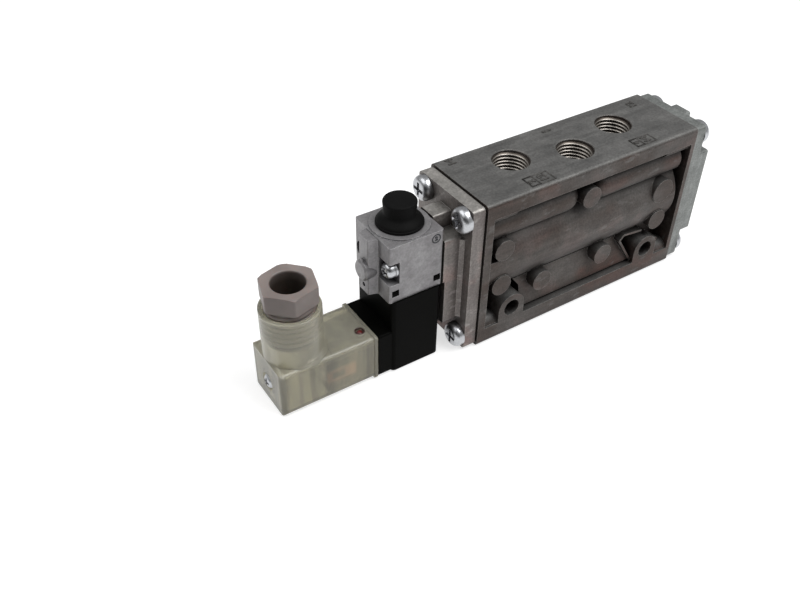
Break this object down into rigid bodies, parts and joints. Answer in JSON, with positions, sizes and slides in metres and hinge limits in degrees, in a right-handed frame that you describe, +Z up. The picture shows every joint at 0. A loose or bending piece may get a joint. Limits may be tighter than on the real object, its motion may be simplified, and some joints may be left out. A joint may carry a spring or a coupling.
{
  "type": "pneumatic solenoid valve",
  "caption": "Die-cast spool valve with threaded ports, bolted end plates, and a solenoid pilot with rubber override cap, coil and clear cable plug.",
  "frame": {"origin": "centre of the body's foot face, where the valve stands", "axes": "+X along the spool from the solenoid pilot to the spring cover, +Y across the body, +Z up towards the side with three ports"},
  "size_m": [0.1774, 0.0318, 0.0616],
  "materials": {
    "body_cast": "die-cast, tumbled",
    "plate_cast": "die-cast, tumbled",
    "cover_cast": "die-cast, tumbled",
    "pilot_cast": "fine die-cast",
    "hard_aluminium": "turned and hard anodised",
    "plated_steel": "zinc plated",
    "bare_steel": "machined",
    "spring_steel": "drawn wire",
    "black_rubber": "smooth moulded",
    "seal_rubber": "oiled",
    "gasket_fibre": "pressed sheet",
    "coil_resin": "matte moulded",
    "bobbin_resin": "moulded",
    "copper_wire": "enamelled",
    "brass_metal": "turned",
    "tinned_brass": "tinned",
    "clear_resin": "milky translucent moulded",
    "block_resin": "moulded",
    "board_green": "laminate",
    "red_lens": "tinted",
    "nut_resin": "moulded"
  },
  "bodies": {
    "valve": {"valve_body": "body_cast", "spool_sleeve": "hard_aluminium", "sleeve_seals": "seal_rubber", "return_spring": "spring_steel", "pilot_end_gasket": "gasket_fibre", "pilot_end_plate": "plate_cast", "pilot_end_screws": "plated_steel", "cover_gasket": "gasket_fibre", "spring_end_cover": "cover_cast", "cover_screws": "plated_steel", "pilot_gasket": "gasket_fibre", "pilot_block": "pilot_cast", "pilot_screws": "plated_steel", "spring_washers": "plated_steel", "override_cap": "black_rubber", "pin_seal": "seal_rubber", "core_tube": "bare_steel", "fixed_core": "bare_steel", "armature_spring": "spring_steel", "flux_frame": "bare_steel", "bobbin": "bobbin_resin", "coil_winding": "copper_wire", "coil_terminals": "tinned_brass", "screw_insert": "brass_metal", "coil_body": "coil_resin", "plug_gasket": "gasket_fibre", "plug_housing": "clear_resin", "terminal_block": "block_resin", "terminal_sockets": "brass_metal", "terminal_screws": "plated_steel", "circuit_board": "board_green", "indicator_lamp": "red_lens", "plug_screw": "plated_steel", "screw_seal": "seal_rubber", "gland_seal": "seal_rubber", "gland_washer": "bobbin_resin", "gland_nut": "nut_resin"},
    "spool": {"spool": "hard_aluminium", "pilot_piston": "hard_aluminium", "piston_seal": "seal_rubber", "spring_seat": "bare_steel"},
    "override": {"override_pin": "brass_metal"},
    "armature": {"armature": "bare_steel", "armature_seal": "seal_rubber"}
  },
  "joints": [
    {"name": "spool_slide", "type": "slide", "parent": "valve", "child": "spool", "axis": [1, 0, 0], "range_m": [0, 0.003], "stiffness_N_per_m": 1200, "springref_m": -0.0012, "deforming": ["return_spring"]},
    {"name": "override_push", "type": "slide", "parent": "valve", "child": "override", "axis": [0, 0, -1], "range_m": [0, 0.0012], "stiffness_N_per_m": 800, "springref_m": -0.0004, "deforming": ["override_cap"]},
    {"name": "armature_slide", "type": "slide", "parent": "valve", "child": "armature", "axis": [0, 0, -1], "range_m": [0, 0.0012], "stiffness_N_per_m": 500, "springref_m": -0.0004, "deforming": ["armature_spring"]}
  ],
  "couplings": [
    {"joint": "armature_slide", "follows": "override_push", "ratio": 1}
  ]
}
